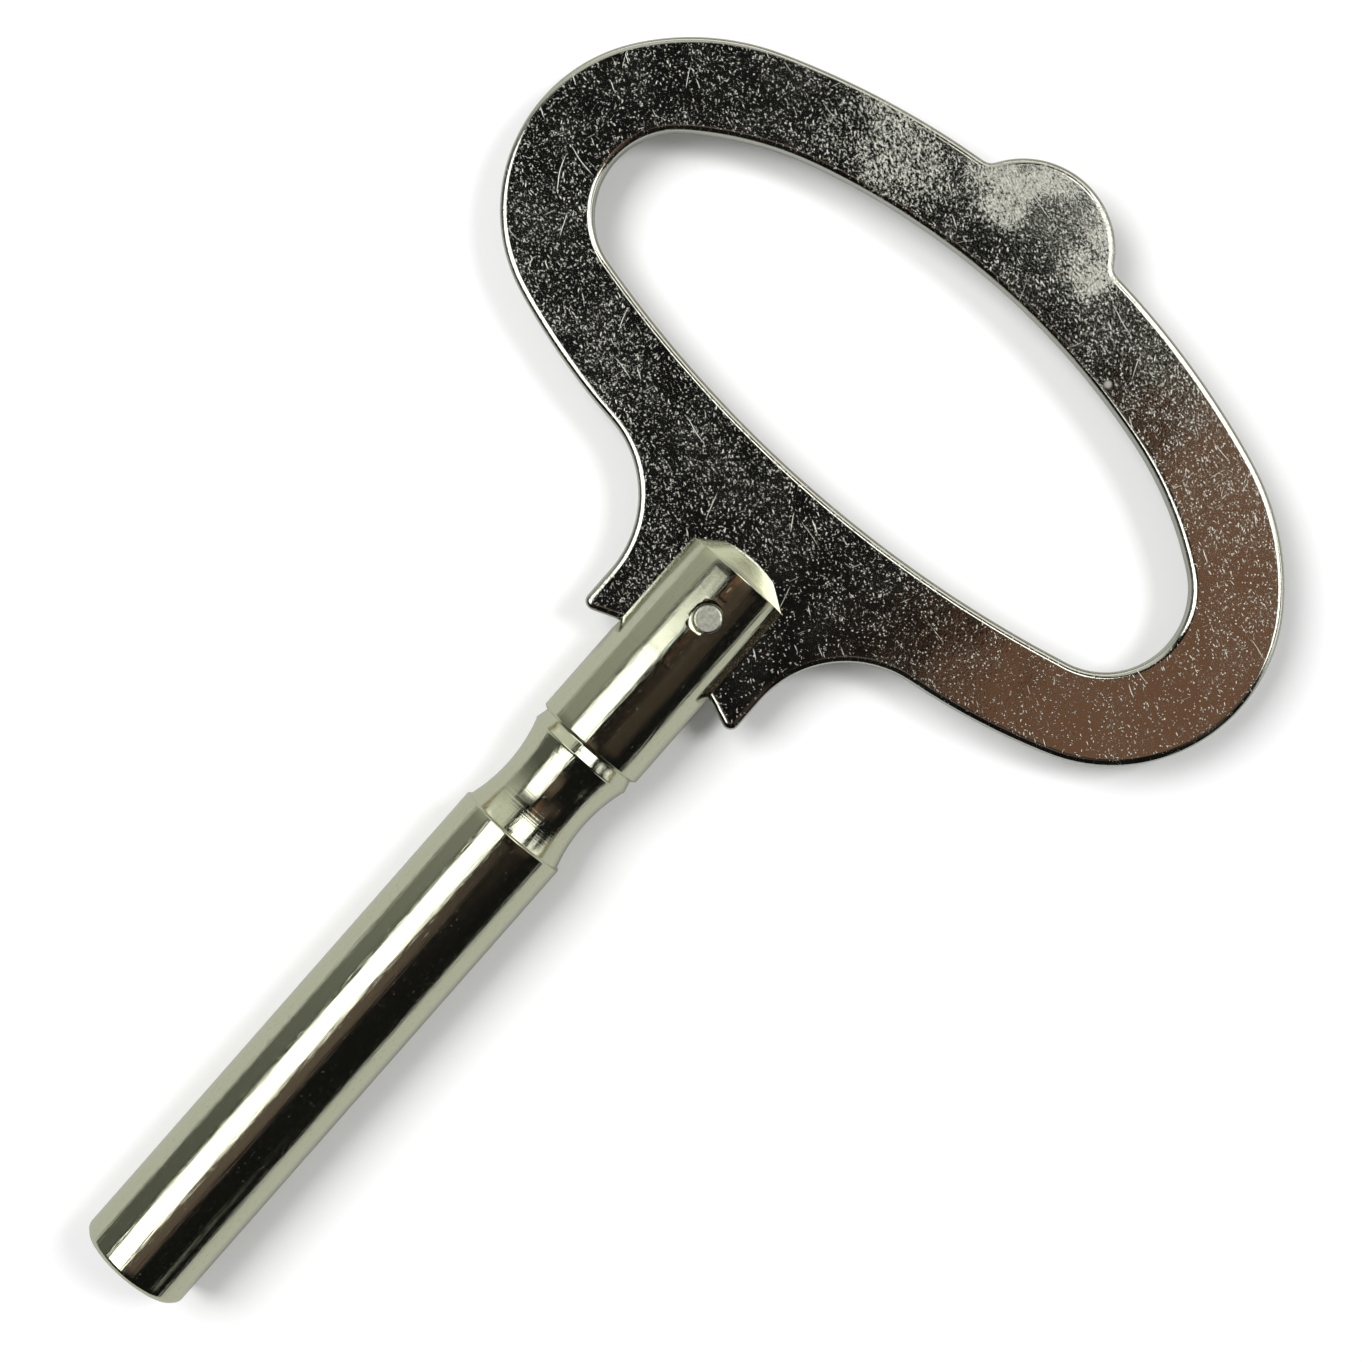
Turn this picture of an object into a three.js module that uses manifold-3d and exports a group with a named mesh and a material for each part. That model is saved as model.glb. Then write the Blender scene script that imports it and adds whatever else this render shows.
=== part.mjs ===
// A clock-pattern key for the bleed screws of radiators. A flat pressed bow sits in a slot across the
// head of a turned shank, and one cross pin holds it there. The other end of the shank is a square socket.
// Units are millimetres. The shank lies along +Y and the bow is flat in the XY plane, so +Z is the normal
// of the bow. Places along Y are measured from the mouth of the socket. At the end the whole key moves, so
// that the origin is at half its length, on the shank's axis and in the middle plane of the bow.
import * as THREE from "three";
import { mergeVertices } from "three/addons/utils/BufferGeometryUtils.js";
import Module from "manifold-3d";

// Shank: one piece of round bar, turned, slotted and broached
const barRadius = 4;
const mouthChamfer = 0.3;
const tubeEnd = 38.75; // where the long socket tube stops and the neck begins
const tubeEdgeBreak = 0.1;
const neckWaistRadius = 3.3;
const neckEndRadius = 3.8;
const ringStart = 45.4;
const ringEnd = 46.35;
const ringEdgeBreak = 0.1;
const ringStartRadius = 3.88;
const ringEndRadius = 3.67; // the ring tapers towards the head
const headEdgeBreak = 0.2;
const headShoulder = 61.4;
const crownRimRadius = 2.3; // the cone of the head end gives way here to a low dome
const crownConeRise = 1.2;
const crownDomeRadius = 8;

// Socket for a 5 mm square valve end
const socketAcross = 5.1;
const socketDepth = 12;
const pilotRadius = 2.7;
const pilotDepth = 18;
const mouthLeadIn = 0.3;
const drillHalfAngle = THREE.MathUtils.degToRad(59);

// Bow: flat plate with rounded edges
const plateThickness = 1.5;
const plateEdgeRound = 0.4;
const crown = { y: 33.25, r: 60 }; // centre height and radius of the long arc over the top of the loop
const knob = { y: 90.15, r: 6.15 };
const knobFilletRadius = 0.9;
// Arcs that follow the crown round one side, each tangent to the last: radius and the angle, in degrees,
// of its outward normal where it ends. A negative radius is a hollow stretch.
const loopArcs = [
  { r: crown.r, to: 69.8 },
  { r: 17.3, to: 36.3 },
  { r: 11.4, to: -70.2 },
  { r: 48, to: -82.6 },
  { r: -7.6, to: 0 },
];
const hornTip = 53.25; // how low the two horns beside the head reach
const hornCornerRadius = 0.6;
const hornSlope = 20; // rise of the lower edge of a horn towards the shank, in degrees
const tongueEdge = 54.15; // lower edge of the plate inside the slot
const holeCentre = 34.86; // centre height of the long arc over the top of the finger hole
const holeArcs = [
  { r: 52.5, to: 74.4 },
  { r: 24.3, to: 52.7 },
  { r: 5.6, to: -76.4 },
];

// Slot across the head, and the pin through head and bow
const slotWidth = 1.7;
const slotFloor = 53.3;
const pin = { x: 0.55, y: 57.9, r: 0.95, length: 7.84, chamfer: 0.12 }; // drilled a little off centre
const pinHoleRadius = 1.05;
const countersinkStart = 3.7; // distance from the bow's middle plane
const countersinkSlope = 0.5;

const cutClearance = 1; // how far a cutter reaches past the faces that it opens
const mergeDistance = 1e-4; // vertices closer than this are one vertex
const chordError = 0.01; // how far the flat facets may lie inside the true curves of the bow
const turningFacets = 64;
const pinFacets = 36;
const neckRings = 10;
const domeRings = 4;
const plateEdgeFacets = 2;

const nickelSteel = { color: 0xc4c5b8, roughness: 0.22, metalness: 1 };
const nickelBrass = { color: 0xcdceb8, roughness: 0.18, metalness: 1 };
const peenedSteel = { color: 0xb0b1a9, roughness: 0.5, metalness: 1 };

const wasm = await Module();
wasm.setup();

// Solids

// The geometry, moved by a matrix if one is given, as a manifold-3d solid.
function solid(geometry, matrix = new THREE.Matrix4()) {
  const bare = geometry.clone().deleteAttribute("normal").deleteAttribute("uv").applyMatrix4(matrix);
  const merged = mergeVertices(bare, mergeDistance);
  const vertProperties = new Float32Array(merged.attributes.position.array);
  const triVerts = new Uint32Array(merged.index.array);
  return new wasm.Manifold(new wasm.Mesh({ numProp: 3, vertProperties, triVerts }));
}

function geometryOf(manifold) {
  const mesh = manifold.getMesh();
  const geometry = new THREE.BufferGeometry();
  geometry.setAttribute("position", new THREE.BufferAttribute(mesh.vertProperties, 3));
  geometry.setIndex(new THREE.BufferAttribute(mesh.triVerts, 1));
  geometry.computeVertexNormals();
  return geometry;
}

function meshOf(name, geometry, look) {
  const mesh = new THREE.Mesh(geometry, new THREE.MeshStandardMaterial(look));
  mesh.name = name;
  return mesh;
}

// A body turned about the Z axis from [radius, z] pairs, along the pin.
function turnedAlongPin(profile) {
  const points = profile.map(([r, z]) => new THREE.Vector2(r, z));
  const upright = new THREE.Matrix4().makeRotationX(Math.PI / 2);
  const place = new THREE.Matrix4().makeTranslation(pin.x, pin.y, 0);
  return solid(new THREE.LatheGeometry(points, pinFacets), place.multiply(upright));
}

// Outlines

const polar = (x, y, r, angle) => new THREE.Vector2(x + r * Math.cos(angle), y + r * Math.sin(angle));

// Points along an arc whose outward normal turns from one angle to another, both included.
function arcPoints(centre, r, from, to) {
  const step = 2 * Math.acos(1 - chordError / Math.max(Math.abs(r), 1));
  const count = Math.ceil(Math.abs(to - from) / step);
  return Array.from({ length: count + 1 }, (_, i) =>
    polar(centre.x, centre.y, r, from + ((to - from) * i) / count),
  );
}

// Points along a run of tangent arcs, the first centred on the middle line at the height given.
function tangentArcs(y, from, arcs) {
  const points = [];
  let centre = new THREE.Vector2(0, y);
  let r = arcs[0].r;
  let angle = from;
  for (const arc of arcs) {
    centre = polar(centre.x, centre.y, r - arc.r, angle);
    r = arc.r;
    const end = THREE.MathUtils.degToRad(arc.to);
    points.push(...arcPoints(centre, r, angle, end));
    angle = end;
  }
  return { points, centre, angle };
}

// A closed outline, counter-clockwise, from the points of its right-hand half, given from the top down.
function mirrored(half) {
  const left = half.map((p) => new THREE.Vector2(-p.x, p.y));
  const all = [...left, ...half.toReversed()];
  return all.filter((p, i) => p.distanceTo(all[(i + all.length - 1) % all.length]) > mergeDistance);
}

// The thumb knob on top of the loop, and the fillet that joins it to the crown of the loop.
function knobArcs() {
  const rise = knob.y - crown.y;
  const fromKnob = knob.r + knobFilletRadius;
  const fromCrown = crown.r + knobFilletRadius;
  const height = (fromCrown ** 2 - fromKnob ** 2 + rise ** 2) / (2 * rise);
  const fillet = new THREE.Vector2(Math.sqrt(fromCrown ** 2 - height ** 2), crown.y + height);
  const knobAngle = Math.atan2(fillet.y - knob.y, fillet.x);
  const crownAngle = Math.atan2(height, fillet.x);
  const points = [
    ...arcPoints({ x: 0, y: knob.y }, knob.r, Math.PI / 2, knobAngle),
    ...arcPoints(fillet, -knobFilletRadius, knobAngle, crownAngle),
  ];
  return { points, angle: crownAngle };
}

// From the hollow beside the head down to the tip of the horn, and back in to the slot.
function hornPoints(sideX) {
  const slope = THREE.MathUtils.degToRad(hornSlope);
  const corner = { x: sideX - hornCornerRadius, y: hornTip + hornCornerRadius };
  const lowEdge = arcPoints(corner, hornCornerRadius, 0, -Math.PI / 2 - slope);
  const last = lowEdge[lowEdge.length - 1];
  const run = (tongueEdge - last.y) / Math.tan(slope);
  return [...lowEdge, new THREE.Vector2(last.x - run, tongueEdge)];
}

function bowOutline() {
  const top = knobArcs();
  const side = tangentArcs(crown.y, top.angle, loopArcs);
  const sideX = side.centre.x + loopArcs[loopArcs.length - 1].r;
  return mirrored([...top.points, ...side.points, ...hornPoints(sideX)]);
}

// The finger hole, closed underneath by one long arc tangent to its tight ends.
function holeOutline() {
  const round = tangentArcs(holeCentre, Math.PI / 2, holeArcs);
  const reach = round.centre.x / Math.cos(round.angle);
  const floorCentre = { x: 0, y: round.centre.y - reach * Math.sin(round.angle) };
  const floorRadius = reach + holeArcs[holeArcs.length - 1].r;
  return mirrored([...round.points, ...arcPoints(floorCentre, floorRadius, round.angle, -Math.PI / 2)]);
}

// Cutters

// The drilled hole for the pin, opened out a little where it breaks the surface of the head.
function pinHole() {
  const clear = barRadius + cutClearance;
  const flare = pinHoleRadius + (clear - countersinkStart) * countersinkSlope;
  return turnedAlongPin([
    [0, -clear],
    [flare, -clear],
    [pinHoleRadius, -countersinkStart],
    [pinHoleRadius, countersinkStart],
    [flare, clear],
    [0, clear],
  ]);
}

// The slot for the bow: open at the head end, round at its floor.
function slot() {
  const across = 2 * (barRadius + cutClearance);
  const roundY = slotFloor + slotWidth / 2;
  const headEnd = domeProfile()[domeRings][1];
  const length = headEnd + cutClearance - roundY;
  const box = new THREE.BoxGeometry(across, length, slotWidth);
  const floor = new THREE.CylinderGeometry(slotWidth / 2, slotWidth / 2, across, pinFacets);
  const sideways = new THREE.Matrix4().makeRotationZ(Math.PI / 2);
  const boxPlace = new THREE.Matrix4().makeTranslation(0, roundY + length / 2, 0);
  const floorPlace = new THREE.Matrix4().makeTranslation(0, roundY, 0).multiply(sideways);
  return solid(box, boxPlace).add(solid(floor, floorPlace));
}

// The square socket: a drilled pilot with a chamfered mouth, broached square for part of its depth.
function socket() {
  const square = new THREE.BoxGeometry(socketAcross, 2 * socketDepth, socketAcross);
  const pilot = [
    [0, -cutClearance],
    [pilotRadius + mouthLeadIn, -cutClearance],
    [pilotRadius + mouthLeadIn, 0],
    [pilotRadius, mouthLeadIn],
    [pilotRadius, pilotDepth],
    [0, pilotDepth + pilotRadius / Math.tan(drillHalfAngle)],
  ].map(([r, y]) => new THREE.Vector2(r, y));
  return solid(new THREE.LatheGeometry(pilot, turningFacets)).add(solid(square));
}

// Parts

// The hollow neck between tube and ring, as [radius, y] pairs on one circular arc.
function neckProfile() {
  const half = (ringStart - tubeEnd) / 2;
  const sag = neckEndRadius - neckWaistRadius;
  const r = (half ** 2 + sag ** 2) / (2 * sag);
  const swing = Math.asin(half / r);
  return Array.from({ length: neckRings + 1 }, (_, i) => {
    const angle = swing * ((2 * i) / neckRings - 1);
    return [neckWaistRadius + r * (1 - Math.cos(angle)), tubeEnd + half + r * Math.sin(angle)];
  });
}

// The low dome that ends the head, from its rim to the axis.
function domeProfile() {
  const rimY = headShoulder + crownConeRise;
  const swing = Math.asin(crownRimRadius / crownDomeRadius);
  return Array.from({ length: domeRings + 1 }, (_, i) => {
    const angle = swing * (1 - i / domeRings);
    const y = rimY + crownDomeRadius * (Math.cos(angle) - Math.cos(swing));
    return [crownDomeRadius * Math.sin(angle), y];
  });
}

function shank() {
  const profile = [
    [0, 0],
    [barRadius - mouthChamfer, 0],
    [barRadius, mouthChamfer],
    [barRadius, tubeEnd - tubeEdgeBreak],
    [barRadius - tubeEdgeBreak, tubeEnd],
    ...neckProfile(),
    [ringStartRadius, ringStart + ringEdgeBreak],
    [ringEndRadius, ringEnd],
    [barRadius, ringEnd + headEdgeBreak],
    [barRadius, headShoulder],
    ...domeProfile(),
  ].map(([r, y]) => new THREE.Vector2(r, y));
  const turned = solid(new THREE.LatheGeometry(profile, turningFacets));
  const cut = turned.subtract(slot()).subtract(pinHole()).subtract(socket());
  return meshOf("shank", geometryOf(cut), nickelBrass);
}

function bow() {
  const shape = new THREE.Shape(bowOutline());
  shape.holes.push(new THREE.Path(holeOutline()));
  const plate = new THREE.ExtrudeGeometry(shape, {
    depth: plateThickness - 2 * plateEdgeRound,
    bevelThickness: plateEdgeRound,
    bevelSize: plateEdgeRound,
    bevelOffset: -plateEdgeRound,
    bevelSegments: plateEdgeFacets,
  });
  const toMiddle = new THREE.Matrix4().makeTranslation(0, 0, plateEdgeRound - plateThickness / 2);
  return meshOf("bow", geometryOf(solid(plate, toMiddle).subtract(pinHole())), nickelSteel);
}

function crossPin() {
  const half = pin.length / 2;
  const turned = turnedAlongPin([
    [0, -half],
    [pin.r - pin.chamfer, -half],
    [pin.r, pin.chamfer - half],
    [pin.r, half - pin.chamfer],
    [pin.r - pin.chamfer, half],
    [0, half],
  ]);
  return meshOf("cross_pin", geometryOf(turned), peenedSteel);
}

const key = new THREE.Group();
key.add(shank(), bow(), crossPin());
key.position.y = -(knob.y + knob.r) / 2;

export default key;
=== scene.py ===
"""Looks of the radiator bleed key: fine meshes, nickel, a pale floor and soft studio light.

Lengths in this file are millimetres in the frame of the CAD model. They turn into metres where a mesh, a
lamp or the camera is made. +Y runs along the shank from the socket to the bow, and +Z is the bow's normal.
"""
import math

import bmesh
import bpy
import numpy as np
from mathutils import Matrix, Vector, noise
from mathutils.geometry import delaunay_2d_cdt
from mathutils.kdtree import KDTree

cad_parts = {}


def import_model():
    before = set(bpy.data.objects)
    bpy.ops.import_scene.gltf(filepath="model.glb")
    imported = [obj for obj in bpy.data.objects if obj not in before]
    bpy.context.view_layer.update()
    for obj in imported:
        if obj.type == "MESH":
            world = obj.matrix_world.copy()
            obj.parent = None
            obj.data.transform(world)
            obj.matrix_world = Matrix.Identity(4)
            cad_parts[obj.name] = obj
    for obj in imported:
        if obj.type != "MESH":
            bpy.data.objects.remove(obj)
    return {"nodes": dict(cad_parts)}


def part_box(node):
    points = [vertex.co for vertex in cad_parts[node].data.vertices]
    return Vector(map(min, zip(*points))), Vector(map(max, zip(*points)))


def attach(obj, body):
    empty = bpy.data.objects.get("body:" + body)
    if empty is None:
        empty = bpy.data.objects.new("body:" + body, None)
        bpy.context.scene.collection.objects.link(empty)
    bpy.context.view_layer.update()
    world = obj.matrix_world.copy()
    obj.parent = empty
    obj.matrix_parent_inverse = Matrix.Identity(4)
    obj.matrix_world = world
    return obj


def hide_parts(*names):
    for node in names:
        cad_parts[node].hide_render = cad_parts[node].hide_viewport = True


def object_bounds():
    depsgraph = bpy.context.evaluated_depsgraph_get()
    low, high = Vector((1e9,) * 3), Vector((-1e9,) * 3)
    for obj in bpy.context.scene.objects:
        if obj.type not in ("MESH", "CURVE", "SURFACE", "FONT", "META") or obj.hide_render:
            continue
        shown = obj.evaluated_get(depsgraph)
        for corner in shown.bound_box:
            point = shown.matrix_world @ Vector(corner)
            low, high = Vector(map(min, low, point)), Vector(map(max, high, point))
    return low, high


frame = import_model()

CAD_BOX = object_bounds()
MM = 0.001
MERGE = 0.002  # points closer than this are one point
CUT_MERGE = 0.0005  # the same along a cut

# ---------------------------------------------------------------- reading the CAD model


def cad_mesh(node):
    """Merged vertices in mm, and the set of edges between them, of one CAD node."""
    mesh = frame["nodes"][node].data
    co = np.array([v.co for v in mesh.vertices]) / MM
    points, index = np.unique(np.round(co, 3), axis=0, return_inverse=True)
    index = index.reshape(-1)
    edges = {tuple(sorted((index[a], index[b]))) for a, b in (e.vertices for e in mesh.edges)}
    return points, {e for e in edges if e[0] != e[1]}


def chained(edges):
    """Closed loops of vertex numbers, from an unordered set of edges."""
    links = {}
    for a, b in edges:
        links.setdefault(a, []).append(b)
        links.setdefault(b, []).append(a)
    loops = []
    while links:
        start = min(links)
        loop, here = [start], links[start][0]
        while here != start:
            onward = [n for n in links[here] if n != loop[-1]]
            loop.append(here)
            here = onward[0]
        for n in loop:
            links.pop(n)
        loops.append(loop)
    return loops


# ---------------------------------------------------------------- making meshes


def object_from(name, points, faces, sharp_degrees=35):
    """A smooth-shaded mesh object from points in mm."""
    mesh = bpy.data.meshes.new(name)
    mesh.from_pydata([Vector(p) * MM for p in points], [], faces)
    clean(mesh, MERGE)
    shade(mesh, sharp_degrees)
    piece = bpy.data.objects.new(name, mesh)
    bpy.context.scene.collection.objects.link(piece)
    return piece


def clean(mesh, merge, triangles=False):
    """Removes doubled points, faces without an area and unused points, and turns every face outwards."""
    work = bmesh.new()
    work.from_mesh(mesh)
    bmesh.ops.remove_doubles(work, verts=work.verts, dist=merge * MM)
    bmesh.ops.dissolve_degenerate(work, edges=work.edges, dist=merge * MM)
    bmesh.ops.delete(work, geom=[v for v in work.verts if not v.link_faces], context="VERTS")
    if triangles:
        bmesh.ops.triangulate(work, faces=[f for f in work.faces if len(f.verts) > 4])
    bmesh.ops.recalc_face_normals(work, faces=work.faces)
    work.to_mesh(mesh)
    work.free()


def shade(mesh, sharp_degrees):
    mesh.polygons.foreach_set("use_smooth", [True] * len(mesh.polygons))
    mesh.set_sharp_from_angle(angle=math.radians(sharp_degrees))


def cut(piece, cutter, sharp_degrees=35):
    """Takes the cutter's volume out of the piece, and removes the cutter."""
    modifier = piece.modifiers.new("cut", "BOOLEAN")
    modifier.operation = "DIFFERENCE"
    modifier.solver = "EXACT"
    modifier.object = cutter
    graph = bpy.context.evaluated_depsgraph_get()
    mesh = bpy.data.meshes.new_from_object(piece.evaluated_get(graph))
    piece.modifiers.clear()
    piece.data = mesh
    bpy.data.objects.remove(cutter)
    clean(mesh, CUT_MERGE, triangles=True)
    shade(mesh, sharp_degrees)


def grid_faces(rows, columns, closed, first=0):
    """Quads between rows of equal length, numbered row by row from first."""
    wrap = columns if closed else columns - 1
    quads = []
    for i in range(rows - 1):
        for k in range(wrap):
            a, b = first + i * columns + k, first + i * columns + (k + 1) % columns
            quads.append((a, b, b + columns, a + columns))
    return quads


def turned(name, profile, columns, place):
    """A solid of revolution about local Z from (radius, height) pairs that start and end on the axis."""
    angles = [2 * math.pi * k / columns for k in range(columns)]
    points = [place @ Vector((r * math.cos(a), r * math.sin(a), z)) for r, z in profile for a in angles]
    return object_from(name, points, grid_faces(len(profile), columns, closed=True))


# ---------------------------------------------------------------- curves

STRAIGHT_RATIO = 3
LONGEST_FILLET = 0.48  # of the shorter chord beside a corner


def turn_at(path, i, closed):
    """How far the path turns at point i, in radians."""
    n = len(path)
    if not closed and i in (0, n - 1):
        return 0.0
    before, after = path[i] - path[i - 1], path[(i + 1) % n] - path[i]
    return abs(math.atan2(before[0] * after[1] - before[1] * after[0], before @ after))


def tangent(before, after):
    """Direction of a smooth path where two chords meet; a chord far longer than its neighbour is straight."""
    short, long = sorted((before, after), key=np.linalg.norm)
    if np.linalg.norm(long) > STRAIGHT_RATIO * np.linalg.norm(short):
        return long / np.linalg.norm(long)
    way = before / (before @ before) + after / (after @ after)
    return way / np.linalg.norm(way)


def smoothed(path, spacing, closed, corner_degrees=25):
    """The path through the same points as a smooth curve, sampled finely; sharper turns stay corners."""
    n = len(path)
    ways = [None] * n
    for i in range(n):
        inner = closed or 0 < i < n - 1
        if inner and turn_at(path, i, closed) < math.radians(corner_degrees):
            ways[i] = tangent(path[i] - path[i - 1], path[(i + 1) % n] - path[i])
    out = []
    for i in range(n if closed else n - 1):
        j = (i + 1) % n
        length = np.linalg.norm(path[j] - path[i])
        straight = (path[j] - path[i]) / length
        start = straight if ways[i] is None else ways[i]
        end = straight if ways[j] is None else ways[j]
        steps = max(1, math.ceil(length / spacing))
        for k in range(steps):
            t = k / steps
            h = (2 * t**3 - 3 * t**2 + 1, t**3 - 2 * t**2 + t, 3 * t**2 - 2 * t**3, t**3 - t**2)
            out.append(h[0] * path[i] + h[1] * length * start + h[2] * path[j] + h[3] * length * end)
    if not closed:
        out.append(path[-1])
    return np.array(out)


def filleted(path, radius_at, corner_degrees=20, steps=4):
    """The open path with each of its corners rounded, by the radius that radius_at gives for the corner."""
    out = [path[0]]
    for i in range(1, len(path) - 1):
        turn = turn_at(path, i, closed=False)
        if turn < math.radians(corner_degrees):
            out.append(path[i])
            continue
        before, after = path[i] - path[i - 1], path[i + 1] - path[i]
        room = LONGEST_FILLET * min(np.linalg.norm(before), np.linalg.norm(after))
        reach = min(room, radius_at(path[i]) * math.tan(turn / 2))
        a = path[i] - before / np.linalg.norm(before) * reach
        b = path[i] + after / np.linalg.norm(after) * reach
        for k in range(steps + 1):
            t = k / steps
            out.append((1 - t) ** 2 * a + 2 * t * (1 - t) * path[i] + t * t * b)
    out.append(path[-1])
    return np.array(out)


# ---------------------------------------------------------------- the bow

SPACING = 0.25  # between points along an outline
TOP_ROLL = (0.5, 0.36)  # how far the edge rolls over, inwards and down, on the side the die went in
UNDER_ROLL = (0.22, 0.16)
ROLL_STEPS = 9
FACE_GRID = 1.5  # between points inside a flat face
PIN_CLEARANCE = 0.1
PIN_HOLE_ROLL = (0.05, 0.05)
PIN_HOLE_POINTS = 48
INSIDE_EDGES = 1  # asks the triangulation for the area within the edges


def bow_loops():
    """The outline and the finger hole, where the plate is at its full width."""
    points, edges = cad_mesh("bow")
    level = points[points[:, 2] > 0, 2].min()
    flat = {e for e in edges if all(abs(points[n, 2] - level) < MERGE for n in e)}
    loops = sorted((points[loop][:, :2] for loop in chained(flat)), key=lambda loop: -np.ptp(loop[:, 0]))
    return [smoothed(loop, SPACING, closed=True) for loop in loops]


def pin_hole_loop():
    low, high = (np.array(c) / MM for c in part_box("cross_pin"))
    radius = (high - low)[0] / 2 + PIN_CLEARANCE
    middle = ((low + high) / 2)[:2]
    angles = np.linspace(0, 2 * math.pi, PIN_HOLE_POINTS + 1)[:-1]
    return middle + radius * np.column_stack([np.cos(angles), np.sin(angles)])


def outward(loop, inside_out):
    """Unit normals of a closed loop, away from the metal."""
    way = np.roll(loop, -1, axis=0) - np.roll(loop, 1, axis=0)
    normal = np.stack([way[:, 1], -way[:, 0]], axis=1)
    normal /= np.linalg.norm(normal, axis=1)[:, None]
    x, y = loop[:, 0], loop[:, 1]
    area = (x * np.roll(y, -1) - np.roll(x, -1) * y).sum()
    return normal * (1 if (area > 0) != inside_out else -1)


def edge_rings(loop, normal, half, top, under):
    """Rings of points from the upper face round the plate's edge to the lower face."""
    rings = []
    for (inset, drop), sign in ((top, 1), (under, -1)):
        for k in range(ROLL_STEPS + 1):
            a = math.pi / 2 * k / ROLL_STEPS
            if sign < 0:
                a = math.pi / 2 - a
            ring = loop - normal * inset * (1 - math.sin(a))
            z = sign * (half - drop * (1 - math.cos(a)))
            rings.append(np.column_stack([ring, np.full(len(ring), z)]))
    return rings


def inside(points, loop):
    """Which of the points lie inside the closed loop."""
    crossed = np.zeros(len(points), bool)
    for a, b in zip(loop, np.roll(loop, -1, axis=0)):
        spans = (a[1] > points[:, 1]) != (b[1] > points[:, 1])
        if spans.any():
            at = a[0] + (points[:, 1] - a[1]) * (b[0] - a[0]) / (b[1] - a[1] + 1e-12)
            crossed ^= spans & (points[:, 0] < at)
    return crossed


def filled(loops):
    """Points and triangles inside the first loop and outside the others, with a grid of points between."""
    low, high = loops[0].min(axis=0), loops[0].max(axis=0)
    rims = KDTree(sum(len(loop) for loop in loops))
    points, edges = [], []
    for loop in loops:
        first = len(points)
        points.extend(Vector(p) for p in loop)
        edges.extend((first + k, first + (k + 1) % len(loop)) for k in range(len(loop)))
    for n, p in enumerate(points):
        rims.insert((p.x, p.y, 0), n)
    rims.balance()
    for i, x in enumerate(np.arange(low[0], high[0], FACE_GRID)):
        for y in np.arange(low[1], high[1], FACE_GRID):
            p = Vector((x, y + FACE_GRID / 2 * (i % 2)))
            if rims.find((p.x, p.y, 0))[2] > FACE_GRID / 2:
                points.append(p)
    made = delaunay_2d_cdt(points, edges, [], INSIDE_EDGES, 1e-6)
    flat = np.array([(p.x, p.y) for p in made[0]])
    middles = np.array([flat[list(t)].mean(axis=0) for t in made[2]])
    wanted = inside(middles, loops[0])
    for loop in loops[1:]:
        wanted &= ~inside(middles, loop)
    faces = [tuple(t) for t, keep in zip(made[2], wanted) if keep]
    return flat, faces


def bow():
    half = (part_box("bow")[1].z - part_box("bow")[0].z) / MM / 2
    outline, hole = bow_loops()
    pin_hole = pin_hole_loop()
    points, faces = [], []
    rims = {1: [], -1: []}
    for loop, top, under, is_hole in (
        (outline, TOP_ROLL, UNDER_ROLL, False),
        (hole, TOP_ROLL, UNDER_ROLL, True),
        (pin_hole, PIN_HOLE_ROLL, PIN_HOLE_ROLL, True),
    ):
        normal = outward(loop, is_hole)
        rings = edge_rings(loop, normal, half, top, under)
        faces += grid_faces(len(rings), len(loop), closed=True, first=len(points))
        points += [tuple(p) for ring in rings for p in ring]
        rims[1].append(rings[0][:, :2])
        rims[-1].append(rings[-1][:, :2])
    for side in (1, -1):
        flat, triangles = filled(rims[side])
        first = len(points)
        points += [(x, y, side * half) for x, y in flat]
        faces += [tuple(first + n for n in t) for t in triangles]
    piece = object_from("bow_plate", points, faces)
    level_normals(piece.data, half * MM)
    return piece


def level_normals(mesh, height):
    """Shades the flat faces as truly flat, up to where their rolled edges begin."""
    up = Vector((0, 0, 1))
    normals = [
        up * math.copysign(1, v.co.z) if abs(abs(v.co.z) - height) < MERGE * MM / 2 else v.normal
        for v in mesh.vertices
    ]
    mesh.normals_split_custom_set_from_vertices(normals)


# ---------------------------------------------------------------- the shank

COLUMNS = 192  # round the bar
ROW_SPACING = 0.6
CHORD_COLUMNS = 24  # across the face of a jaw
CORNER_ROUND = 0.09
MOUTH_ROUND = 0.4
SLOT_CORNER = 0.07  # rounding of the slot's long edges
SLOT_CORNER_BEND = 0.3  # of that rounding: how near its middle point comes to the sharp corner
SLOT_FLOOR_ROWS = 6  # over the round floor of the slot
DOME_ROWS = 4
SOCKET_ZONE = 20  # the drilled socket ends before this distance from the mouth
LEAST_TURN_RADIUS = 0.91  # of the bar's radius: nothing outside is thinner over the socket
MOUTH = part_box("shank")[0].y / MM
BAR_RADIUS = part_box("shank")[1].z / MM


def turned_profile():
    """The turned outside of the shank as (radius, y) rows, read off where no slot or hole cuts it."""
    points, _ = cad_mesh("shank")
    x, y, z = points.T
    on = (np.abs(x - z) < MERGE) & (x > 0)
    r = np.hypot(x, z)
    on &= (r > LEAST_TURN_RADIUS * BAR_RADIUS) | (y > MOUTH + SOCKET_ZONE)
    rows = sorted({(round(b, 3), -round(a, 3)) for a, b in zip(r[on], y[on])})
    path = [np.array((-b, a)) for a, b in rows]
    (r1, y1), (r2, y2) = path[-2], path[-1]
    centre = (r1**2 - r2**2 + y1**2 - y2**2) / (2 * (y1 - y2))
    radius = math.hypot(r2, y2 - centre)
    last = math.asin(r2 / radius)
    for k in range(1, DOME_ROWS + 1):
        a = last * (1 - k / DOME_ROWS)
        path.append(np.array((radius * math.sin(a), centre + radius * math.cos(a))))
    return np.array(path)


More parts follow.
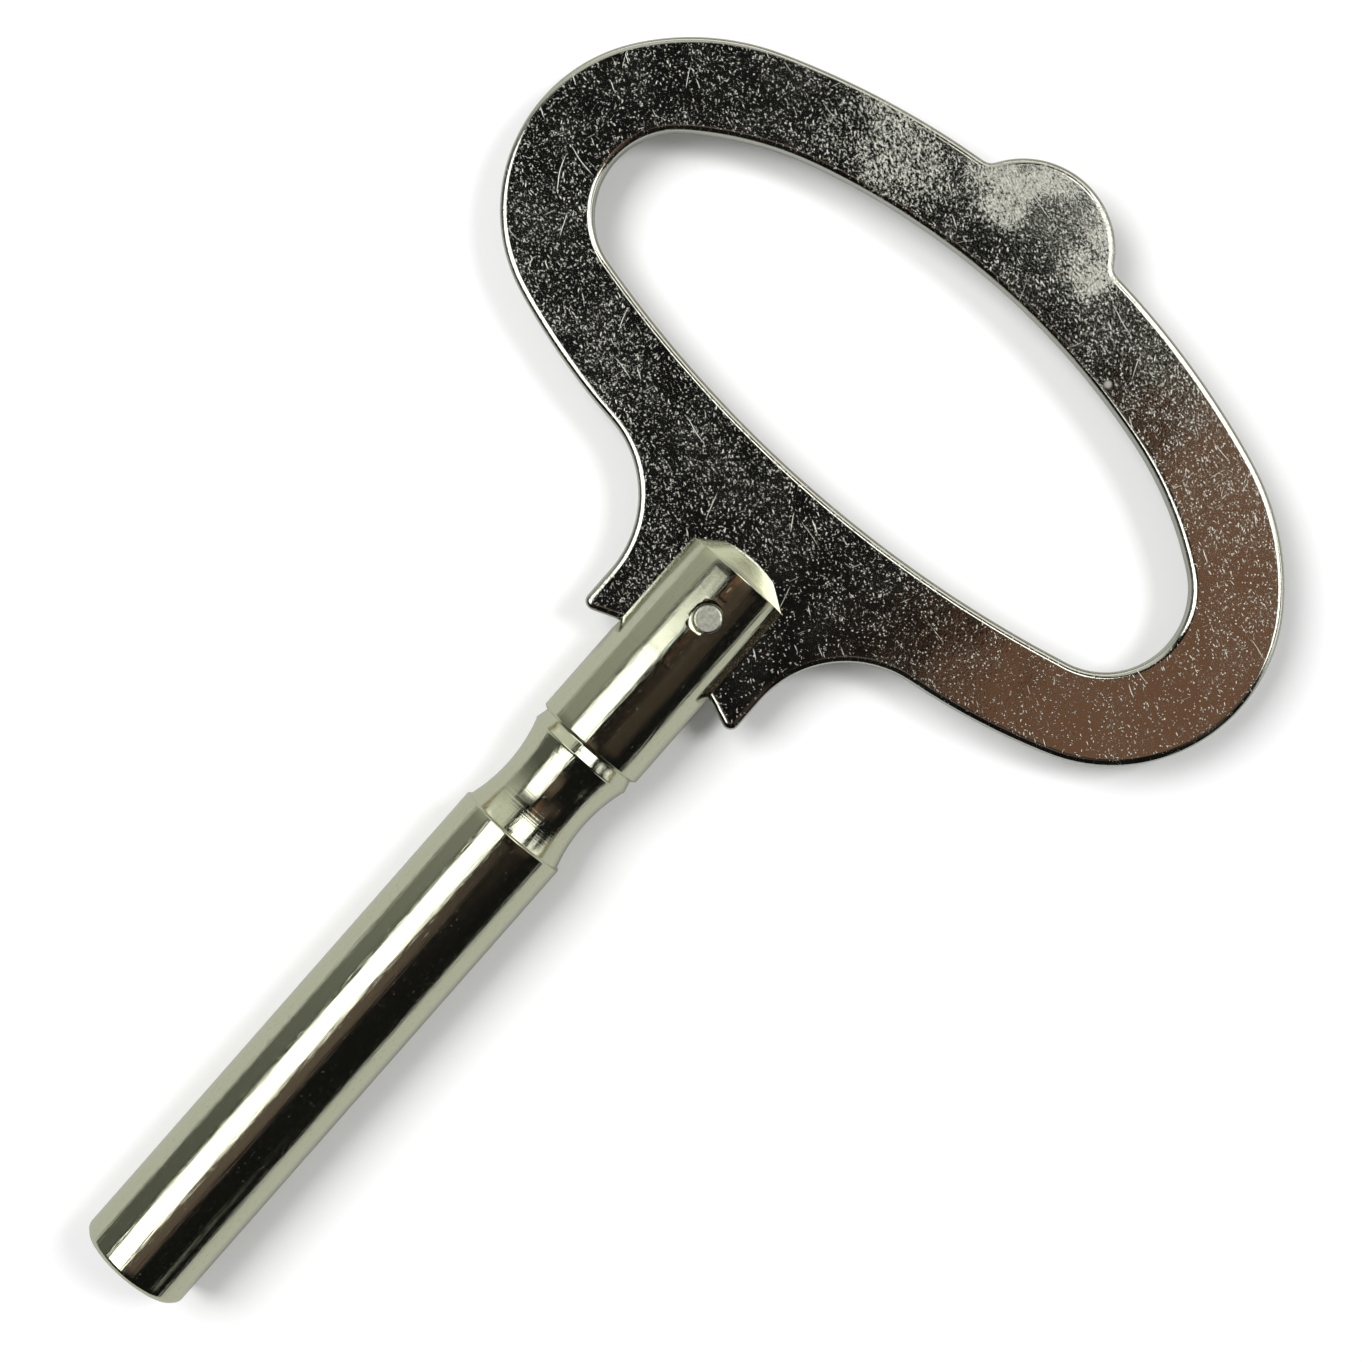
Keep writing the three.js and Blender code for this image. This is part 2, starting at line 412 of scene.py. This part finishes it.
def slot_shape():
    """Half the slot's width, and the y of its floor."""
    points, _ = cad_mesh("shank")
    head = points[points[:, 1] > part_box("cross_pin")[0].y / MM]
    half = np.abs(head[:, 2]).min()
    rim = points[(np.abs(points[:, 2]) < MERGE) & (points[:, 1] > MOUTH + SOCKET_ZONE)]
    wide = rim[np.abs(rim[:, 0]) > LEAST_TURN_RADIUS * BAR_RADIUS]
    return half, max(y for y in wide[:, 1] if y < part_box("cross_pin")[0].y / MM)


def shank_rows():
    """The fine (radius, y) rows of the outside, from the mouth to where the jaws beside the slot run out."""
    half, floor = slot_shape()
    path = filleted(turned_profile(), lambda p: MOUTH_ROUND if p[1] < MOUTH + 1 else CORNER_ROUND)
    rows = [tuple(p) for p in smoothed(path, ROW_SPACING, closed=False)]
    rows += [(BAR_RADIUS, floor + half * k / SLOT_FLOOR_ROWS) for k in range(SLOT_FLOOR_ROWS + 1)]
    first_crown = max(y for r, y in rows if abs(r - BAR_RADIUS) < MERGE)
    rows = sorted((p for p in rows if p[1] <= first_crown), key=lambda p: (p[1], -p[0])) + [
        p for p in rows if p[1] > first_crown
    ]
    kept = [p for p in rows if p[0] > half]
    (r1, y1), (r2, y2) = kept[-1], rows[len(kept)]
    kept.append((half, y1 + (y2 - y1) * (r1 - half) / (r1 - r2)))
    return kept, half, floor


def jaw_ring(r, y, h, side):
    """One jaw's section at y: the arc from +X over the top to -X, then back along the slot's face."""
    rounding = min(SLOT_CORNER, h / 2, (r - h) / 2)
    corner = math.asin(min(1.0, h / r))
    low = corner + rounding / r
    half_arc = COLUMNS // 2
    arc = [low + (math.pi - 2 * low) * k / half_arc for k in range(half_arc + 1)]
    ring = [(r * math.cos(a), y, side * r * math.sin(a)) for a in arc]
    reach = math.sqrt(max(0.0, r * r - h * h))
    edge = max(0.0, reach - rounding)
    bend = rounding * SLOT_CORNER_BEND
    ring.append((bend - reach, y, side * (h + bend)))
    chord = np.linspace(-edge, edge, CHORD_COLUMNS + 1)
    ring += [(x, y, side * h) for x in chord]
    ring.append((reach - bend, y, side * (h + bend)))
    return ring


def shank():
    rows, half, floor = shank_rows()
    points, faces = [], []
    plain = [p for p in rows if p[1] <= floor + MERGE]
    angles = [2 * math.pi * k / COLUMNS for k in range(COLUMNS)]
    points += [(0, plain[0][1], 0)] * COLUMNS
    points += [(r * math.cos(a), y, r * math.sin(a)) for r, y in plain for a in angles]
    faces += grid_faces(len(plain) + 1, COLUMNS, closed=True)
    slotted = [p for p in rows if p[1] >= floor - MERGE]
    for side in (1, -1):
        first = len(points)
        for r, y in slotted:
            below = max(0.0, floor + half - y)
            ring = jaw_ring(r, y, math.sqrt(max(0.0, half**2 - below**2)), side)
            points += ring
        faces += grid_faces(len(slotted), len(ring), closed=True, first=first)
    piece = object_from("turned_shank", points, faces)
    for cutter in (pilot_cutter(), square_cutter(), pin_hole_cutter()):
        cut(piece, cutter)
    return piece


MOUTH_LEAD_IN = 0.3
BROACH_CORNER = 0.15
BROACH_STEPS = 4
SOCKET_COLUMNS = 96
CUT_PAST = 1  # how far a cutter reaches past the mouth
# Each end of the pin hole: (distance from the middle plane, what it adds to the pin's radius)
FLARE = ((3.66, 0.02), (3.84, 0.05), (3.91, 0.10), (3.955, 0.19), (3.99, 0.30), (5.0, 3.4))


def socket_sizes():
    """Half the square, where it ends, the pilot's radius, and where the pilot and its point end."""
    points, _ = cad_mesh("shank")
    r = np.hypot(points[:, 0], points[:, 2])
    inner = points[(r < LEAST_TURN_RADIUS * BAR_RADIUS) & (points[:, 1] < MOUTH + SOCKET_ZONE)]
    half = np.abs(inner[:, 0])[np.abs(np.abs(inner[:, 0]) - np.abs(inner[:, 2])) < MERGE].max()
    square_end = inner[np.abs(np.abs(inner[:, 0]) - half) < MERGE][:, 1].max()
    deep = inner[inner[:, 1] > square_end + 1]
    pilot = np.hypot(deep[:, 0], deep[:, 2]).max()
    pilot_end = deep[np.hypot(deep[:, 0], deep[:, 2]) > pilot - MERGE][:, 1].max()
    return half, square_end, pilot, pilot_end, deep[:, 1].max()


def pilot_cutter():
    _, _, pilot, pilot_end, point_end = socket_sizes()
    profile = [
        (0, MOUTH - CUT_PAST),
        (pilot + MOUTH_LEAD_IN + CUT_PAST, MOUTH - CUT_PAST),
        (pilot, MOUTH + MOUTH_LEAD_IN),
        (pilot, pilot_end),
        (0, point_end),
    ]
    along_y = Matrix.Rotation(math.radians(-90), 4, "X")
    return turned("pilot", profile, SOCKET_COLUMNS, along_y)


def square_cutter():
    half, square_end, *_ = socket_sizes()
    section = []
    for quarter in range(4):
        corner = math.pi / 2 * quarter + math.pi / 4
        x = (half - BROACH_CORNER) * math.copysign(1, math.cos(corner))
        z = (half - BROACH_CORNER) * math.copysign(1, math.sin(corner))
        for k in range(BROACH_STEPS + 1):
            a = math.pi / 2 * (quarter + k / BROACH_STEPS)
            section.append((x + BROACH_CORNER * math.cos(a), z + BROACH_CORNER * math.sin(a)))
    points = [(x, y, z) for y in (MOUTH - CUT_PAST, square_end) for x, z in section]
    n = len(section)
    faces = grid_faces(2, n, closed=True) + [tuple(range(n)), tuple(range(n, 2 * n))]
    return object_from("square", points, faces)


def pin_middle():
    """The pin's middle, its radius and half its length."""
    low, high = (Vector(c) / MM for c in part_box("cross_pin"))
    return (low + high) / 2, (high - low).x / 2, (high - low).z / 2


def pin_hole_cutter():
    middle, radius, _ = pin_middle()
    end = [(radius + more, z) for z, more in FLARE] + [(0, FLARE[-1][0])]
    profile = [(r, -z) for r, z in reversed(end)] + end
    return turned("pin_hole", profile, SOCKET_COLUMNS, Matrix.Translation((middle.x, middle.y, 0)))


# ---------------------------------------------------------------- the cross pin

PIN_COLUMNS = 64
PIN_EDGE = 0.12  # rounding of the ends' rims
PIN_EDGE_STEPS = 4
PIN_END_RINGS = 13
PIN_CROWN = 0.02
PIN_DRESSING = 0.012  # depth of the marks left on the pin's ends


def cross_pin():
    middle, radius, half = pin_middle()
    end = [
        (radius - PIN_EDGE * (1 - math.sin(a)), half - PIN_EDGE * (1 - math.cos(a)) - PIN_CROWN)
        for a in np.linspace(math.pi / 2, 0, PIN_EDGE_STEPS + 1)
    ]
    radii = np.linspace(radius - PIN_EDGE, 0, PIN_END_RINGS + 1)[1:]
    end += [(r, half - PIN_CROWN * (r / radius) ** 2) for r in radii]
    profile = [(r, -z) for r, z in reversed(end)] + end
    piece = turned("pin", profile, PIN_COLUMNS, Matrix.Translation(middle))
    for v in piece.data.vertices:
        if abs(v.co.z / MM) > half - PIN_CROWN * 1.5:
            mark = noise.noise(Vector((v.co.x, v.co.y, v.co.z)) / MM * 2.6)
            fine = noise.noise(Vector((v.co.x * 3, v.co.y, v.co.z)) / MM * 4.1)
            v.co.z += (mark + 0.5 * fine - 0.75) * PIN_DRESSING * MM * math.copysign(1, v.co.z)
    piece.data.update()
    return piece


# ---------------------------------------------------------------- node trees


class Graph:
    """Short calls that build one node tree."""

    def __init__(self, tree):
        tree.nodes.clear()
        self.tree = tree

    def put(self, socket, value):
        if isinstance(value, bpy.types.NodeSocket):
            self.tree.links.new(value, socket)
        elif value is not None:
            socket.default_value = value

    def add(self, kind, inputs=None, **settings):
        node = self.tree.nodes.new("ShaderNode" + kind)
        for name, value in settings.items():
            setattr(node, name, value)
        for name, value in (inputs or {}).items():
            self.put(node.inputs[name], value)
        return node

    def math(self, operation, *values, clamp=False):
        node = self.add("Math", operation=operation, use_clamp=clamp)
        for socket, value in zip(node.inputs, values):
            self.put(socket, value)
        return node.outputs[0]

    def vector(self, operation, *values):
        node = self.add("VectorMath", operation=operation)
        for socket, value in zip(node.inputs, values):
            self.put(socket, value)
        return node.outputs["Value" if operation == "LENGTH" else "Vector"]

    def scaled(self, vector, factor):
        return self.add("VectorMath", {0: vector, "Scale": factor}, operation="SCALE").outputs[0]

    def split(self, vector):
        return self.add("SeparateXYZ", {0: vector}).outputs

    def joined(self, x, y, z):
        return self.add("CombineXYZ", {0: x, 1: y, 2: z}).outputs[0]

    def step(self, value, low, high):
        """Goes smoothly from 0 where the value is low to 1 where it is high."""
        names = {"Value": value, "From Min": low, "From Max": high}
        return self.add("MapRange", names, interpolation_type="SMOOTHSTEP").outputs[0]

    def spread(self, value, low, high):
        """A 0 to 1 value as one between low and high."""
        return self.add("MapRange", {"Value": value, "To Min": low, "To Max": high}).outputs[0]

    def mix(self, factor, a, b):
        node = self.add("Mix", {0: factor, 6: a, 7: b}, data_type="RGBA")
        return node.outputs[2]

    def noise(self, vector, scale, detail=2.0, roughness=0.5):
        names = {"Vector": vector, "Scale": scale, "Detail": detail, "Roughness": roughness}
        return self.add("TexNoise", names).outputs["Fac"]

    def cells(self, vector, scale):
        """Distance to the nearest random point, and that point's own random colour."""
        node = self.add("TexVoronoi", {"Vector": vector, "Scale": scale})
        return node.outputs["Distance"], node.outputs["Color"]

    def placed(self, vector, turn=0.0, scale=(1, 1, 1), shift=(0, 0, 0)):
        """The vector turned about Z by some degrees, shifted and then scaled."""
        turned_by = (0, 0, math.radians(turn))
        first = self.add("Mapping", {"Vector": vector, "Rotation": turned_by, "Location": shift})
        return self.vector("MULTIPLY", first.outputs[0], scale)


HAZE_ROUGHNESS = 0.42
BOW_ROUGHNESS = 0.07
TUBE_ROUGHNESS = (0.05, 0.13)
BORE_ROUGHNESS = 0.45
PIN_ROUGHNESS = (0.4, 0.9)
PIN_RIM_ROUGHNESS = 0.12
# Depths of relief, in mm
BOW_GRAIN = 0.003
BOW_WAVE = 0.02
BOW_MARKS = 0.005
TUBE_STREAKS = 0.012
TUBE_GRAIN = 0.0025
NECK_RINGS = 0.009
PIN_GRAIN = 0.03

def rgb(r, g, b):
    return (r, g, b, 1.0)


def new_material(name):
    material = bpy.data.materials.new(name)
    material.use_nodes = True
    return material, Graph(material.node_tree)


def in_mm(graph):
    return graph.scaled(graph.add("TexCoord").outputs["Object"], 1 / MM)


def finish_metal(graph, colour, roughness, normal, haze):
    """Bright metal, with a share of haze over its sharp reflections."""
    names = {"Base Color": colour, "Metallic": 1.0, "Roughness": roughness, "Normal": normal}
    sharp = graph.add("BsdfPrincipled", names).outputs[0]
    names = {"Color": colour, "Roughness": HAZE_ROUGHNESS, "Normal": normal}
    dull = graph.add("BsdfAnisotropic", names).outputs[0]
    mixed = graph.add("MixShader", {0: haze, 1: sharp, 2: dull})
    graph.add("OutputMaterial", {"Surface": mixed.outputs[0]})


# ---------------------------------------------------------------- marks in the metal


def marks(graph, place, scale, share, size):
    """Scattered marks of random strength: how dull they leave the metal, from 0 to 1.

    share is the part of the cells that hold a mark, and size is its radius in cells.
    """
    distance, colour = graph.cells(place, scale)
    lot = graph.add("SeparateColor", {0: colour}).outputs
    radius = graph.math("MULTIPLY", graph.spread(lot[1], 0.4, 1.0), size)
    core = graph.math("MULTIPLY", radius, 0.5)
    near = graph.add("MapRange", {"Value": distance, "From Min": radius, "From Max": core}).outputs[0]
    there = graph.math("LESS_THAN", lot[0], share)
    strength = graph.spread(graph.math("POWER", lot[2], 2.2), 0.10, 1.0)
    return graph.math("MULTIPLY", graph.math("MULTIPLY", near, there), strength)


def strongest(graph, values):
    most = values[0]
    for value in values[1:]:
        most = graph.math("MAXIMUM", most, value)
    return most


def warped(graph, place, scale, amount):
    """The place moved about by noise, so that the marks there lose their even shapes."""
    names = {"Vector": place, "Scale": scale, "Detail": 1.0}
    way = graph.vector("SUBTRACT", graph.add("TexNoise", names).outputs["Color"], (0.5, 0.5, 0.5))
    return graph.vector("ADD", place, graph.scaled(way, amount))


def patch(graph, place, x, y, radius):
    """Fades from 1 at a point of the XY plane to 0 at the radius."""
    flat = graph.vector("MULTIPLY", graph.vector("SUBTRACT", place, (x, y, 0)), (1, 1, 0))
    return graph.step(graph.vector("LENGTH", flat), radius, 0.3 * radius)


NECK = (MOUTH + 38.75, MOUTH + 45.4)  # where the hollow neck starts and ends
NICKEL = rgb(0.76, 0.78, 0.60)
BOW_NICKEL = rgb(0.72, 0.73, 0.66)
BORE_STEEL = rgb(0.42, 0.38, 0.30)
PIN_STEEL = (rgb(0.52, 0.52, 0.46), rgb(0.78, 0.78, 0.70))  # its darker and its paler patches
BLEMISH = (10.1, 38.95, 0.36)  # x, y and radius of a dull spot on the bow's face
# Patches with more flecks than the rest, or fewer: x, y, radius, and how many more
RUBBED = (
    (-3.4, 44.2, 3.4, 0.15),
    (-1.6, 46.9, 2.2, 0.13),
    (3.8, 46.6, 2.4, 0.13),
    (4.7, 43.2, 2.6, 0.15),
    (-11.0, 41.5, 6.0, 0.10),
    (23.0, 27.0, 18.0, -0.03),
    (5.3, 10.0, 7.0, -0.12),
)
FLECK_TURN = 115  # degrees; the flecks are longer one way than the other
# Nicks and scratches on the bow: direction in degrees, shift, cells to the mm across and along, share, size
NICKS = (
    (12, 3.1, 10.0, 2.6, 0.03, 0.40),
    (64, 17.2, 10.0, 2.6, 0.03, 0.40),
    (101, 23.8, 10.0, 2.2, 0.05, 0.42),
    (117, 31.5, 10.0, 2.2, 0.05, 0.42),
    (136, 36.1, 10.0, 2.2, 0.05, 0.42),
    (152, 38.9, 10.0, 2.2, 0.04, 0.42),
    (25, 47.0, 10.0, 0.6, 0.02, 0.36),
    (121, 55.3, 10.0, 0.6, 0.03, 0.36),
    (103, 63.8, 10.0, 0.2, 0.03, 0.30),
    (158, 71.1, 10.0, 0.2, 0.02, 0.30),
)


def bow_nickel():
    """Bright plate on a tumbled pressing: dense flecks, short nicks every way, a few long scratches."""
    material, graph = new_material("bow_nickel")
    place = in_mm(graph)
    cloud = graph.step(graph.noise(place, 0.35, 4.0, 0.6), 0.38, 0.72)
    flecked = graph.noise(graph.placed(place, FLECK_TURN, (1.0, 0.6, 1.0)), 7.0, 4.0, 0.75)
    flecked = graph.math("ADD", flecked, graph.math("MULTIPLY", cloud, 0.03))
    ragged = warped(graph, place, 0.35, 5.0)
    for x, y, radius, more in RUBBED:
        here = graph.math("MULTIPLY", patch(graph, ragged, x, y, radius), more)
        flecked = graph.math("ADD", flecked, here)
    strength = graph.step(graph.noise(place, 2.2, 3.0, 0.6), 0.25, 0.75)
    flecks = graph.math("MULTIPLY", graph.step(flecked, 0.58, 0.79), graph.spread(strength, 0.35, 1.2))
    loose = warped(graph, place, 5.0, 0.10)
    layers = [
        marks(graph, loose, 6.5, 0.35, 0.42),
        marks(graph, graph.placed(loose, shift=(7, 3, 0)), 4.0, 0.10, 0.30),
    ]
    bent = warped(graph, place, 0.25, 1.0)
    for turn, shift, across, along, share, size in NICKS:
        thin = graph.placed(bent, turn, (across, along, 1.0), (shift, -shift, 0))
        layers.append(marks(graph, thin, 1.0, share, size))
    spot = graph.math("MULTIPLY", patch(graph, place, *BLEMISH), 0.8)
    worn = strongest(graph, layers + [flecks, spot])
    haze = graph.math("ADD", worn, graph.spread(cloud, 0.006, 0.04), clamp=True)
    grain = graph.math("MULTIPLY", graph.noise(place, 6.0, 3.0), BOW_GRAIN)
    wave = graph.math("MULTIPLY", graph.noise(place, 0.25, 1.0), BOW_WAVE)
    height = graph.math("ADD", graph.math("ADD", grain, wave), graph.math("MULTIPLY", worn, BOW_MARKS))
    bump = graph.add("Bump", {"Height": height, "Distance": MM})
    finish_metal(graph, BOW_NICKEL, BOW_ROUGHNESS, bump.outputs[0], haze)
    return material


def shank_nickel():
    """Bright plate on drawn and turned bar: streaks along it, turning rings at the neck, a dull bore."""
    material, graph = new_material("shank_nickel")
    place = in_mm(graph)
    x, y, z = graph.split(place)
    radius = graph.vector("LENGTH", graph.joined(x, 0.0, z))
    streaks = graph.noise(graph.placed(place, scale=(1, 0.05, 1)), 5.5, 3.0, 0.6)
    grain = graph.noise(place, 11.0, 3.0, 0.6)
    rings = graph.noise(graph.joined(0.0, y, 0.0), 6.0, 2.0, 0.6)
    neck = graph.math(
        "MULTIPLY",
        graph.step(y, NECK[0], NECK[0] + 1.0),
        graph.step(y, NECK[1], NECK[1] - 0.5),
    )
    pits = strongest(graph, [
        marks(graph, place, 2.6, 0.15, 0.22),
        marks(graph, graph.placed(place, scale=(3.0, 0.5, 3.0), shift=(5, 3, 1)), 1.0, 0.12, 0.22),
    ])
    flecks = graph.step(graph.noise(graph.placed(place, scale=(1, 0.5, 1)), 5.0, 4.0, 0.75), 0.52, 0.80)
    turned_rings = graph.math("MULTIPLY", rings, neck)
    height = graph.math("MULTIPLY", streaks, TUBE_STREAKS)
    height = graph.math("ADD", height, graph.math("MULTIPLY", grain, TUBE_GRAIN))
    height = graph.math("ADD", height, graph.math("MULTIPLY", turned_rings, NECK_RINGS))
    bore = graph.math(
        "MULTIPLY",
        graph.math("LESS_THAN", radius, LEAST_TURN_RADIUS * BAR_RADIUS),
        graph.math("LESS_THAN", y, MOUTH + SOCKET_ZONE),
    )
    bright = graph.spread(streaks, *TUBE_ROUGHNESS)
    roughness = graph.math("MAXIMUM", bright, graph.math("MULTIPLY", bore, BORE_ROUGHNESS))
    colour = graph.mix(bore, NICKEL, BORE_STEEL)
    bump = graph.add("Bump", {"Height": height, "Distance": MM})
    haze = strongest(graph, [graph.math("MULTIPLY", pits, 0.5), graph.math("MULTIPLY", flecks, 0.4), 0.012])
    finish_metal(graph, colour, roughness, bump.outputs[0], haze)
    return material


def pin_metal():
    """Dull dressed ends, with a rim that has rubbed bright."""
    middle, radius, _ = pin_middle()
    material, graph = new_material("pin_metal")
    place = in_mm(graph)
    from_axis = graph.vector("MULTIPLY", graph.vector("SUBTRACT", place, (middle.x, middle.y, 0)), (1, 1, 0))
    rim = graph.step(graph.vector("LENGTH", from_axis), radius - 1.4 * PIN_EDGE, radius - 0.8 * PIN_EDGE)
    fine = graph.noise(place, 5.0, 4.0, 0.65)
    rough = graph.spread(fine, *PIN_ROUGHNESS)
    roughness = graph.add("Mix", {0: rim, 2: rough, 3: PIN_RIM_ROUGHNESS}).outputs[0]
    colour = graph.mix(graph.step(fine, 0.35, 0.65), *PIN_STEEL)
    bump = graph.add("Bump", {"Height": fine, "Distance": PIN_GRAIN * MM})
    finish_metal(graph, colour, roughness, bump.outputs[0], graph.spread(rim, 0.2, 0.02))
    return material


# ---------------------------------------------------------------- studio

# What the key mirrors from above. A place there is (x / z, y / z) of the direction to it.
# Low and high corner of each patch, softness of its edges, and its colour times its strength.
# A later patch covers an earlier one.
OVERHEAD = (
    ((-3.0, 1.0), (6.0, 2.4), 0.20, (1.0, 1.0, 0.95)),  # bright room beyond the bow
    ((-1.3, 0.20), (-0.36, 0.85), 0.12, (0.60, 0.60, 0.54)),  # pale wall beyond the bow
    ((-0.94, -0.80), (-0.165, 0.0), 0.03, (2.4, 2.4, 2.3)),  # the lamp to the left
    ((-0.10, 0.25), (0.38, 0.46), 0.035, (2.2, 2.2, 2.1)),  # the lamp beyond the bow, near edge
    ((0.06, 0.25), (0.64, 1.5), 0.035, (2.2, 2.2, 2.1)),  # and the rest of it
    ((1.05, 0.50), (1.60, 1.1), 0.10, (1.0, 1.0, 1.0)),  # a far window
    ((2.35, -0.95), (2.6, -0.76), 0.06, (0.5, 0.5, 0.45)),  # a far strip light
    ((-0.17, -0.38), (0.32, -0.12), 0.06, (0.11, 0.080, 0.065)),  # brown surroundings
    ((0.20, 0.014), (0.80, 0.215), 0.06, (0.085, 0.060, 0.048)),
    ((0.047, 0.014), (0.23, 0.215), 0.008, (0.17, 0.088, 0.052)),
    ((0.45, -0.09), (1.65, 0.04), 0.10, (0.060, 0.042, 0.032)),
)
CEILING = rgb(0.004, 0.004, 0.004)
FAR_WALL = rgb(0.24, 0.20, 0.12)
LEFT_WALL = (rgb(0.09, 0.095, 0.08), rgb(0.62, 0.62, 0.55))  # towards the socket, and towards the bow
LOWEST = 0.02  # of the upward part of a direction, so that nothing divides by zero


def mirrored_room(graph):
    """The colour of the room in a direction: dark overhead, with two walls and the patches."""
    x, y, z = graph.split(graph.add("TexCoord").outputs["Generated"])
    height = graph.math("MAXIMUM", z, LOWEST)
    right = graph.math("DIVIDE", x, height)
    far = graph.math("DIVIDE", y, height)
    wall = graph.mix(graph.step(y, -0.3, 0.35), *LEFT_WALL)
    colour = graph.mix(graph.step(right, -1.08, -1.3), CEILING, wall)
    colour = graph.mix(graph.step(far, 1.4, 2.2), colour, FAR_WALL)
    for (x0, y0), (x1, y1), soft, tint in OVERHEAD:
        masks = [
            graph.step(right, x0 - soft, x0 + soft),
            graph.step(right, x1 + soft, x1 - soft),
            graph.step(far, y0 - soft, y0 + soft),
            graph.step(far, y1 + soft, y1 - soft),
        ]
        mask = graph.math("MULTIPLY", masks[0], masks[1])
        mask = graph.math("MULTIPLY", mask, graph.math("MULTIPLY", masks[2], masks[3]))
        colour = graph.mix(mask, colour, rgb(*tint))
    return colour


WHITE = rgb(1.0, 1.0, 1.0)
DOME = rgb(0.31, 0.31, 0.31)


def world():
    """White to the camera, a soft dome for the floor, and the room for the metal."""
    made = bpy.data.worlds.new("studio")
    made.use_nodes = True
    bpy.context.scene.world = made
    graph = Graph(made.node_tree)
    rays = graph.add("LightPath").outputs
    colour = graph.mix(rays["Is Glossy Ray"], DOME, mirrored_room(graph))
    colour = graph.mix(rays["Is Camera Ray"], colour, WHITE)
    shader = graph.add("Background", {"Color": colour, "Strength": 1.0})
    graph.add("OutputWorld", {"Surface": shader.outputs[0]})


FLOOR_REACH = 4000
FLOOR_COLOUR = rgb(0.9, 0.9, 0.9)
FLOOR_MIRRORED = rgb(0.42, 0.42, 0.40)
FLOOR_PALE = (110, 450)  # distances between which the table fades to plain white, away from the lamps


def floor():
    """A pale table. It burns out to white in the picture, so the metal mirrors it as a darker one."""
    material, graph = new_material("pale_floor")
    rays = graph.add("LightPath").outputs
    colour = graph.mix(rays["Is Glossy Ray"], FLOOR_COLOUR, FLOOR_MIRRORED)
    lit = graph.add("BsdfDiffuse", {"Color": colour}).outputs[0]
    pale = graph.add("Emission", {"Color": WHITE}).outputs[0]
    away = graph.step(graph.vector("LENGTH", in_mm(graph)), *FLOOR_PALE)
    seen_away = graph.math("MULTIPLY", away, rays["Is Camera Ray"])
    shader = graph.add("MixShader", {0: seen_away, 1: lit, 2: pale})
    graph.add("OutputMaterial", {"Surface": shader.outputs[0]})
    height = CAD_BOX[0].z / MM
    corners = [(x * FLOOR_REACH, y * FLOOR_REACH, height) for x, y in ((-1, -1), (1, -1), (1, 1), (-1, 1))]
    square = object_from("floor", corners, [(0, 1, 2, 3)])
    square.data.materials.append(material)


# Name, place, size and watts
LAMPS = (("lamp_left", (-260, -60, 460), 300, 2.35), ("lamp_far", (150, 220, 430), 130, 0.9))


def lamp(name, place, size, watts):
    """A soft square lamp that lights the floor, aimed at the key and not mirrored in it."""
    data = bpy.data.lights.new(name, "AREA")
    data.shape = "SQUARE"
    data.size = size * MM
    data.energy = watts
    made = bpy.data.objects.new(name, data)
    made.location = Vector(place) * MM
    made.rotation_mode = "QUATERNION"
    made.rotation_quaternion = Vector(place).to_track_quat("Z", "Y")
    made.visible_glossy = False
    bpy.context.scene.collection.objects.link(made)


CAMERA_PLACE = (6.5, 7.7, 179.6)
CAMERA_TARGET = (1.8, 5.5, 0.0)
CAMERA_TURN = 41.3  # degrees from +X to the right-hand side of the picture
CAMERA_LENS = 71.1
CAMERA_SENSOR = 36
CAMERA_SEES = (10, 20000)  # nearest and farthest


def camera():
    data = bpy.data.cameras.new("camera")
    data.lens = CAMERA_LENS
    data.sensor_width = CAMERA_SENSOR
    data.clip_start, data.clip_end = (distance * MM for distance in CAMERA_SEES)
    made = bpy.data.objects.new("camera", data)
    back = (Vector(CAMERA_PLACE) - Vector(CAMERA_TARGET)).normalized()
    turn = math.radians(CAMERA_TURN)
    side = Vector((math.cos(turn), math.sin(turn), 0))
    side = (side - back * side.dot(back)).normalized()
    axes = Matrix((side, back.cross(side), back)).transposed()
    made.matrix_world = Matrix.Translation(Vector(CAMERA_PLACE) * MM) @ axes.to_4x4()
    bpy.context.scene.collection.objects.link(made)
    bpy.context.scene.camera = made


# ---------------------------------------------------------------- the scene

for piece, node, slot, material in (
    (bow(), "bow", "bow_nickel", bow_nickel()),
    (shank(), "shank", "shank_nickel", shank_nickel()),
    (cross_pin(), "cross_pin", "pin_metal", pin_metal()),
):
    piece.data.materials.clear()
    piece.data.materials.append(material)
    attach(piece, "root")
    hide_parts(node)

floor()
world()
for settings in LAMPS:
    lamp(*settings)
camera()
bpy.context.scene.view_settings.view_transform = "Standard"
